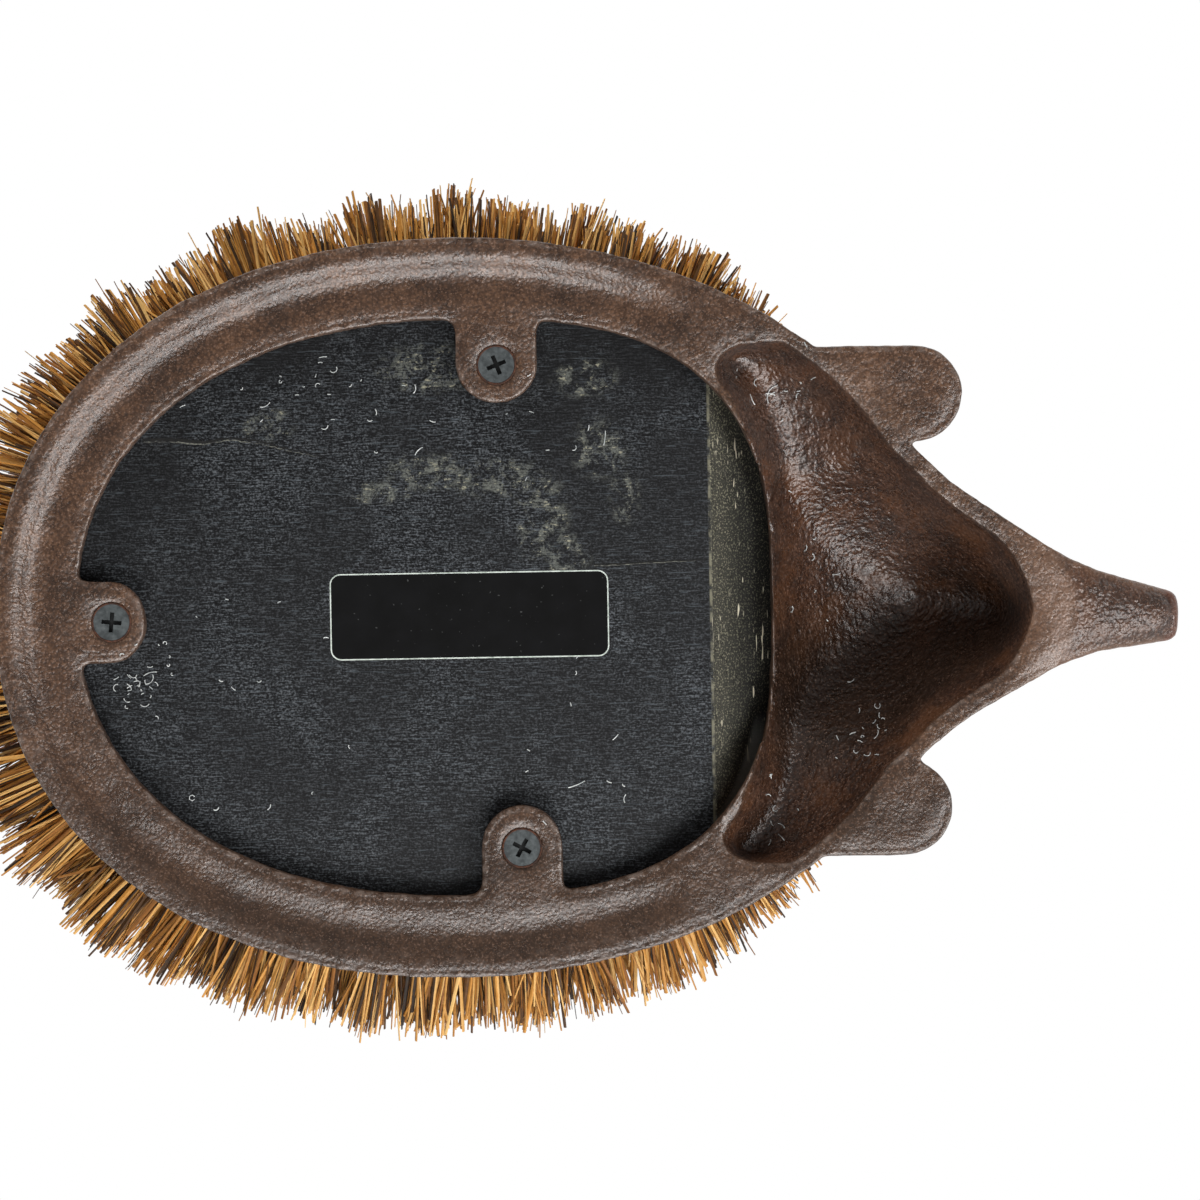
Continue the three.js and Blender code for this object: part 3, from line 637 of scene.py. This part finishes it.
def board_form():
    """Oval slab with a chamfer under its front end and rounded edges."""
    form = bmesh.new()
    low = [form.verts.new(p) for p in board_ring(BLOCK_LOW.z)]
    high = [form.verts.new(p) for p in board_ring(BOARD_TOP)]
    form.faces.new(low[::-1])
    form.faces.new(high)
    for i in range(len(low)):
        form.faces.new((low[i - 1], low[i], high[i], high[i - 1]))
    everything = list(form.verts) + list(form.edges) + list(form.faces)
    cut = bmesh.ops.bisect_plane(
        form, geom=everything, clear_outer=True, plane_no=(1, 0, -1),
        plane_co=(WAIST_X + CHAMFER_STATION, 0, BLOCK_LOW.z))
    rim = [e for e in cut["geom_cut"] if isinstance(e, bmesh.types.BMEdge)]
    bmesh.ops.edgenet_fill(form, edges=rim)
    bmesh.ops.remove_doubles(form, verts=form.verts, dist=SHORT_EDGE)
    bmesh.ops.recalc_face_normals(form, faces=form.faces)
    sharp = [e for e in form.edges if len(e.link_faces) == 2 and e.calc_face_angle() > SHARP_TURN]
    bmesh.ops.bevel(form, geom=sharp, offset=BOARD_ROUNDING, segments=3, profile=0.5, affect="EDGES")
    return form


def board(material):
    form = board_form()
    mesh = bpy.data.meshes.new("painted_board")
    form.to_mesh(mesh)
    form.free()
    mesh.shade_smooth()
    mesh.set_sharp_from_angle(angle=SHARP_TURN)
    piece = add_object("painted_board", mesh, material)
    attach(piece, "root")
    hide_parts("brush_block")
    return mesh


def tuft_places():
    """Centres of the tufts on a staggered grid, in the frame of the widest station."""
    rows = TUFT_PITCH * math.sqrt(3) / 2
    places = []
    for row in range(-TUFT_ROWS, TUFT_ROWS + 1):
        for i in range(-TUFTS_BEHIND, TUFTS_AHEAD):
            x = (i + 0.5 * (row % 2)) * TUFT_PITCH + coir_rng.normal(0, TUFT_SCATTER)
            y = row * rows + coir_rng.normal(0, TUFT_SCATTER)
            if abs(y) < board_half(np.array(x), EDGE_MARGIN):
                places.append((x, y))
    return np.array(places)


def in_dome(points):
    """Below 1 inside the brush's dome, which is fullest at its rear left."""
    x, y, z = points.T
    reach = np.where(x >= 0, FRONT_REACH, REAR_REACH)
    power = np.where((x < 0) & (y > 0), FULL_POWER, 2.0)
    up = (z - DOME_WAIST) / (DOME_TOP - DOME_WAIST)
    return np.abs(x / reach) ** power + np.abs(y / SIDE_REACH) ** power + up ** 2


def fibre_roots(tufts, fibres):
    """Foot of every fibre, and where it stands off the middle of its tuft."""
    middles = np.repeat(tufts, fibres, axis=0)
    count = len(middles)
    angle = coir_rng.uniform(0, 2 * math.pi, count)
    radius = TUFT_RADIUS * np.sqrt(coir_rng.uniform(0, 1, count))
    offset = np.stack([np.cos(angle), np.sin(angle)], 1) * radius[:, None]
    roots = np.column_stack([middles + offset * TUFT_FILL, np.full(count, BOARD_TOP - ROOT_DEPTH)])
    return roots, offset


def fibre_leans(roots, offset, fibres):
    """Direction of every fibre: splayed towards the board's edge, fanned out of its tuft, a few astray."""
    count = len(roots)
    reach = np.where(roots[:, 0] >= 0, BOARD_FRONT, BOARD_REAR) - EDGE_MARGIN
    along = roots[:, 0] / reach
    across = roots[:, 1] / (BOARD_HALF - EDGE_MARGIN)
    edge = np.minimum(1, np.hypot(along, across))
    splay = np.where(roots[:, 0] >= 0, FRONT_SPLAY, REAR_SPLAY)
    lean = np.column_stack([along * edge * splay, across * edge * SIDE_SPLAY, np.ones(count)])
    tilt = np.repeat(coir_rng.normal(0, TUFT_TILT, (len(fibres), 2)), fibres, axis=0)
    stray = np.where(coir_rng.uniform(0, 1, (count, 1)) < STRAY_SHARE, STRAY_LEAN, FIBRE_LEAN)
    lean[:, :2] += tilt + offset * TUFT_FAN + coir_rng.normal(0, 1, (count, 2)) * stray
    return lean / np.linalg.norm(lean, axis=1)[:, None]


def fibre_lengths(tufts, fibres, roots, lean):
    """Length of every fibre up to the dome, cut shorter tuft by tuft along the right side."""
    count = len(roots)
    sparse = (tufts[:, 1] < -RAGGED_EDGE) & (tufts[:, 0] > -RAGGED_REAR)
    ragged = np.where(sparse, RAGGED_TRIM, TUFT_TRIM)
    tuft_trim = np.repeat(np.abs(coir_rng.normal(0, ragged)), fibres)
    trim = np.clip(1 - np.abs(coir_rng.normal(0, FIBRE_TRIM, count)) - tuft_trim, SHORTEST_TRIM, 1.0)
    low, high = np.zeros(count), np.full(count, LONGEST_FIBRE)
    for _ in range(LENGTH_ROUNDS):
        middle = (low + high) / 2
        within = in_dome(roots + lean * middle[:, None]) < trim
        low, high = np.where(within, middle, low), np.where(within, high, middle)
    return low


def fibre_paths(tufts):
    """Root, direction, length and sideways bend of every fibre."""
    reach = np.where(tufts[:, 0] >= 0, BOARD_FRONT, BOARD_REAR)
    outward = np.hypot(tufts[:, 0] / reach, tufts[:, 1] / BOARD_HALF)
    fibres = np.where(outward > EDGE_SHARE, EDGE_FIBRES, INNER_FIBRES)
    roots, offset = fibre_roots(tufts, fibres)
    lean = fibre_leans(roots, offset, fibres)
    length = fibre_lengths(tufts, fibres, roots, lean)
    sideways = np.cross(lean, coir_rng.normal(0, 1, lean.shape))
    sideways /= np.linalg.norm(sideways, axis=1)[:, None]
    bend = sideways * (coir_rng.normal(0, FIBRE_BEND, len(roots)) * length)[:, None]
    return roots, lean, length, bend


def strand_faces(start, rings):
    """Faces of a four-sided strand with closed ends, whose points begin at a number."""
    faces = []
    for a in range(start, start + 4 * (rings - 1), 4):
        faces += [(a + i, a + (i + 1) % 4, a + 4 + (i + 1) % 4, a + 4 + i) for i in range(4)]
    last = start + 4 * (rings - 1)
    return faces + [(start + 3, start + 2, start + 1, start), (last, last + 1, last + 2, last + 3)]


def fibre_mesh(name, paths, tone):
    """Flat four-sided fibres with a slight bow, in one mesh."""
    roots, lean, length, bend = paths
    count = len(roots)
    width = FIBRE_WIDTH[0] + (FIBRE_WIDTH[1] - FIBRE_WIDTH[0]) * coir_rng.uniform(0, 1, count) ** 2
    side = np.cross(lean, coir_rng.normal(0, 1, (count, 3)))
    side /= np.linalg.norm(side, axis=1)[:, None]
    flat = np.cross(lean, side) * FIBRE_FLATNESS
    rings = []
    for share, thin in zip(FIBRE_STATIONS, FIBRE_TAPER):
        middle = roots + lean * (length * share)[:, None] + bend * share ** 2
        half = (width * thin / 2)[:, None]
        rings.append(np.stack([middle + side * half, middle + flat * half,
                               middle - side * half, middle - flat * half], 1))
    points = np.stack(rings, 1) + np.array([WAIST_X, 0, 0])
    per_fibre = 4 * len(FIBRE_STATIONS)
    one_fibre = np.array(strand_faces(0, len(FIBRE_STATIONS)))
    first = np.arange(count)[:, None, None] * per_fibre
    faces = (first + one_fibre).reshape(-1, 4).tolist()
    mesh = mesh_of(name, points, faces)
    set_values(mesh, "tone", np.repeat(tone, per_fibre))
    set_values(mesh, "along", np.tile(np.repeat(FIBRE_STATIONS, 4), count))
    return mesh


def coir_fields(material):
    tufts = tuft_places()
    paths = fibre_paths(tufts)
    count = len(paths[0])
    kind = coir_rng.uniform(0, 1, count)
    dark = coir_rng.uniform(*DARK_TONES, count)
    pale = coir_rng.uniform(*PALE_TONES, count)
    tone = np.where(kind < DARK_SHARE, dark, pale)
    roots = paths[0]
    for end, end_name in ((1, "front"), (-1, "rear")):
        for side, side_name in ((1, "left"), (-1, "right")):
            mine = (roots[:, 0] * end >= 0) & (roots[:, 1] * side >= 0)
            name = f"coir_{end_name}_{side_name}"
            mesh = fibre_mesh(name, [part[mine] for part in paths], tone[mine])
            field = add_object(name, mesh, material)
            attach(field, "root")
            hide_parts(f"bristles_{end_name}_{side_name}")


def rounded_ring(width, height, corner, z):
    ring = []
    for quarter in range(4):
        turn = quarter * math.pi / 2
        sx = 1 if quarter in (0, 3) else -1
        sy = 1 if quarter in (0, 1) else -1
        for step in range(CORNER_STEPS + 1):
            angle = turn + step / CORNER_STEPS * math.pi / 2
            ring.append((sx * (width / 2 - corner) + corner * math.cos(angle),
                         sy * (height / 2 - corner) + corner * math.sin(angle), z))
    return ring


def label(print_material, edge_material):
    """Bare black label with a thin pale edge, stuck to the board's underside."""
    width, height = LABEL_SIZE
    low = BLOCK_LOW.z - LABEL_THICKNESS
    inner = LABEL_BORDER * 2
    rings = [
        rounded_ring(width, height, LABEL_CORNER, BLOCK_LOW.z),
        rounded_ring(width, height, LABEL_CORNER, low),
        rounded_ring(width - inner, height - inner, LABEL_CORNER - LABEL_BORDER, low),
    ]
    count = len(rings[0])
    points = [p for ring in rings for p in ring]
    faces = [(r * count + i, r * count + (i + 1) % count, (r + 1) * count + (i + 1) % count,
              (r + 1) * count + i) for r in range(2) for i in range(count)]
    faces += [tuple(range(2 * count, 3 * count)), tuple(range(count))[::-1]]
    mesh = mesh_of("bare_label", points, faces)
    plate = add_object("bare_label", mesh, print_material, edge_material)
    for i, face in enumerate(mesh.polygons):
        face.material_index = 1 if i < 2 * count else 0
    mesh.transform(Matrix.Translation((WAIST_X + LABEL_CENTRE[0], LABEL_CENTRE[1], 0)))
    mesh.flip_normals()
    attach(plate, "root")


def ground_tree(*meshes):
    """Search tree over the surfaces that lint clings to."""
    points, faces, start = [], [], 0
    for mesh in meshes:
        points += [v.co.copy() for v in mesh.vertices]
        faces += [tuple(start + i for i in face.vertices) for face in mesh.polygons]
        start = len(points)
    return BVHTree.FromPolygons(points, faces)


def hair_line(tree, x, y):
    """Points of one short bent hair that clings to the underside."""
    length = LINT_SHORTEST + LINT_SPREAD * mark_rng.gamma(1.5, 1)
    heading = mark_rng.uniform(0, 2 * math.pi)
    turn = mark_rng.normal(0, LINT_CURL)
    stride = length / (LINT_POINTS - 1)
    line = []
    for _ in range(LINT_POINTS):
        found = tree.ray_cast(Vector((x, y, WELL_BELOW)), Vector((0, 0, 1)))[0]
        if found is None:
            return []
        line.append(found - Vector((0, 0, LINT_RADIUS + LINT_LIFT)))
        x += stride * math.cos(heading)
        y += stride * math.sin(heading)
        heading += turn
    steps = [(b - a).length for a, b in zip(line, line[1:])]
    return line if max(steps) < 2 * stride else []


def lint(tree, material):
    points, faces = [], []
    for (middle_x, middle_y), (half_x, half_y), count in LINT:
        for _ in range(count):
            x = WAIST_X + MM * (middle_x + half_x * np.clip(mark_rng.normal(0, 0.5), -1.2, 1.2))
            y = MM * (middle_y + half_y * np.clip(mark_rng.normal(0, 0.5), -1.2, 1.2))
            line = hair_line(tree, x, y)
            if line:
                faces += strand_faces(len(points), len(line))
            for i, point in enumerate(line):
                ahead = line[min(i + 1, len(line) - 1)] - line[max(i - 1, 0)]
                side = ahead.cross(Vector((0, 0, 1))).normalized() * LINT_RADIUS
                up = Vector((0, 0, LINT_RADIUS))
                points += [point + side, point + up, point - side, point - up]
    mesh = mesh_of("lint", [tuple(p) for p in points], faces)
    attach(add_object("lint", mesh, material), "root")


def crack(name, line, width, material, shift=0.0):
    """Thin tapering mark along a line on the board's underside."""
    spots = [Vector((WAIST_X + x * MM, y * MM + shift, BLOCK_LOW.z - CRACK_PROUD)) for x, y in line]
    points = []
    for a, b in zip(spots, spots[1:]):
        side = (b - a).cross(Vector((0, 0, 1))).normalized()
        for step in range(CRACK_STEPS):
            share = len(points) / 2 / (CRACK_STEPS * (len(spots) - 1))
            half = width / 2 * (1 - share) ** 0.6 * mark_rng.uniform(0.6, 1.2)
            middle = a.lerp(b, step / CRACK_STEPS) + side * mark_rng.normal(0, CRACK_WANDER)
            points += [tuple(middle + side * half), tuple(middle - side * half)]
    faces = [(i, i + 2, i + 3, i + 1) for i in range(0, len(points) - 2, 2)]
    mesh = mesh_of(name, points, faces)
    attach(add_object(name, mesh, material), "root")


def rust_ring(node, material):
    """Rusty seam between a screw's head and its seat."""
    low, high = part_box(node)
    centre = (low + high) / 2
    radius = (high.x - low.x) / 2 + RUST_GAP
    points, faces = [], []
    for i in range(RUST_STEPS):
        turn = 2 * math.pi * i / RUST_STEPS
        for j in range(RUST_SECTION):
            angle = 2 * math.pi * j / RUST_SECTION
            reach = radius + RUST_THICKNESS * math.cos(angle)
            height = low.z + RUST_THICKNESS * math.sin(angle)
            points.append((centre.x + reach * math.cos(turn), centre.y + reach * math.sin(turn), height))
            here, ahead = i * RUST_SECTION, (i + 1) % RUST_STEPS * RUST_SECTION
            beside = (j + 1) % RUST_SECTION
            faces.append((here + j, ahead + j, ahead + beside, here + beside))
    name = node.replace("screw", "rust_ring")
    mesh = mesh_of(name, points, faces)
    mesh.shade_smooth()
    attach(add_object(name, mesh, material), "root")


def camera():
    data = bpy.data.cameras.new("view")
    data.sensor_width = SENSOR
    data.lens = SENSOR * VIEW_DISTANCE / VIEW_WIDTH
    eye = bpy.data.objects.new("view", data)
    bpy.context.scene.collection.objects.link(eye)
    right = Vector((math.cos(VIEW_ROLL), math.sin(VIEW_ROLL), 0))
    back = Vector((0, 0, -1))
    up = back.cross(right)
    turn = Matrix((right, up, back)).transposed().to_4x4()
    eye.matrix_world = Matrix.Translation(VIEW_CENTRE + back * VIEW_DISTANCE) @ turn
    bpy.context.scene.camera = eye


def lamp(name, turn, lift, size, power, glints):
    """Soft lamp at a turn from +X and a lift above the ground, both in degrees."""
    turn, lift = math.radians(turn), math.radians(lift)
    away = Vector((math.cos(lift) * math.cos(turn), math.cos(lift) * math.sin(turn), math.sin(lift)))
    data = bpy.data.lights.new(name, "AREA")
    data.size = size
    data.energy = power
    light = bpy.data.objects.new(name, data)
    bpy.context.scene.collection.objects.link(light)
    light.location = away * LAMP_DISTANCE
    light.rotation_euler = (-away).to_track_quat("-Z", "Y").to_euler()
    light.visible_camera = False
    light.visible_glossy = glints


def floor():
    """Pale ground, seen from above only, that fades into the white surroundings."""
    g = Graph("pale_floor")
    path = g.node("LightPath", {}).outputs["Is Camera Ray"]
    below = g.node("NewGeometry", {}).outputs["Backfacing"]
    fade = g.stretched((FLOOR_FADE, FLOOR_FADE, FLOOR_FADE))
    near = g.node("TexGradient", {"Vector": fade}, gradient_type="SPHERICAL").outputs["Fac"]
    shown = g.math("MULTIPLY", path, g.math("SUBTRACT", 1.0, below))
    shown = g.math("MULTIPLY", shown, g.span(near, 0.0, 0.6))
    matt = g.node("BsdfDiffuse", {"Color": (0.86, 0.86, 0.86, 1)}).outputs["BSDF"]
    clear = g.node("BsdfTransparent", {}).outputs["BSDF"]
    mixed = g.node("MixShader", {0: shown, 1: clear, 2: matt}).outputs["Shader"]
    g.node("OutputMaterial", {"Surface": mixed})
    half = FLOOR_HALF
    corners = [(-half, -half, 0), (half, -half, 0), (half, half, 0), (-half, half, 0)]
    mesh = mesh_of("floor", corners, [(0, 1, 2, 3)])
    ground = add_object("floor", mesh, g.owner)
    ground.visible_diffuse = False
    ground.visible_glossy = False
    ground.visible_transmission = False
    ground.visible_shadow = False


def surroundings():
    """White to the eye, and to shiny surfaces that look above the ground; dim in other directions."""
    g = Graph("studio", bpy.data.worlds)
    path = g.node("LightPath", {}).outputs
    heading = g.axis(g.node("TexCoord", {}).outputs["Generated"], "Z")
    shiny = g.math("MULTIPLY", path["Is Glossy Ray"], g.span(heading, -0.1, 0.1, GROUND_SHINE, 1.0))
    seen = g.math("MAXIMUM", path["Is Camera Ray"], path["Is Transmission Ray"])
    seen = g.math("MAXIMUM", seen, shiny)
    level = g.math("MAXIMUM", seen, AMBIENT)
    shade = g.node("Background", {"Color": (1, 1, 1, 1), "Strength": level})
    g.node("OutputWorld", {"Surface": shade.outputs["Background"]})
    bpy.context.scene.world = g.owner


def dress(node, material):
    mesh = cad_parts[node].data
    mesh.materials.clear()
    mesh.materials.append(material)


bpy.context.scene.view_settings.view_transform = "Standard"
camera()
surroundings()
floor()
for name, setting in LAMPS.items():
    lamp(name, *setting)

steel = screw_material()
rust = rust_material()
for screw in ("screw_rear", "screw_right", "screw_left"):
    dress(screw, steel)
    rust_ring(screw, rust)
skin_mesh = cast_skin(iron_material())
board_mesh = board(wood_material())
coir_fields(coir_material())
label(label_material(), border_material())
dark, pale = crack_material(), lip_material()
for name, (width, line) in CRACKS.items():
    crack(name, line, width, dark)
    crack(name + "_lip", line, width / 2, pale, width * LIP_SHIFT)
lint(ground_tree(skin_mesh, board_mesh), lint_material())
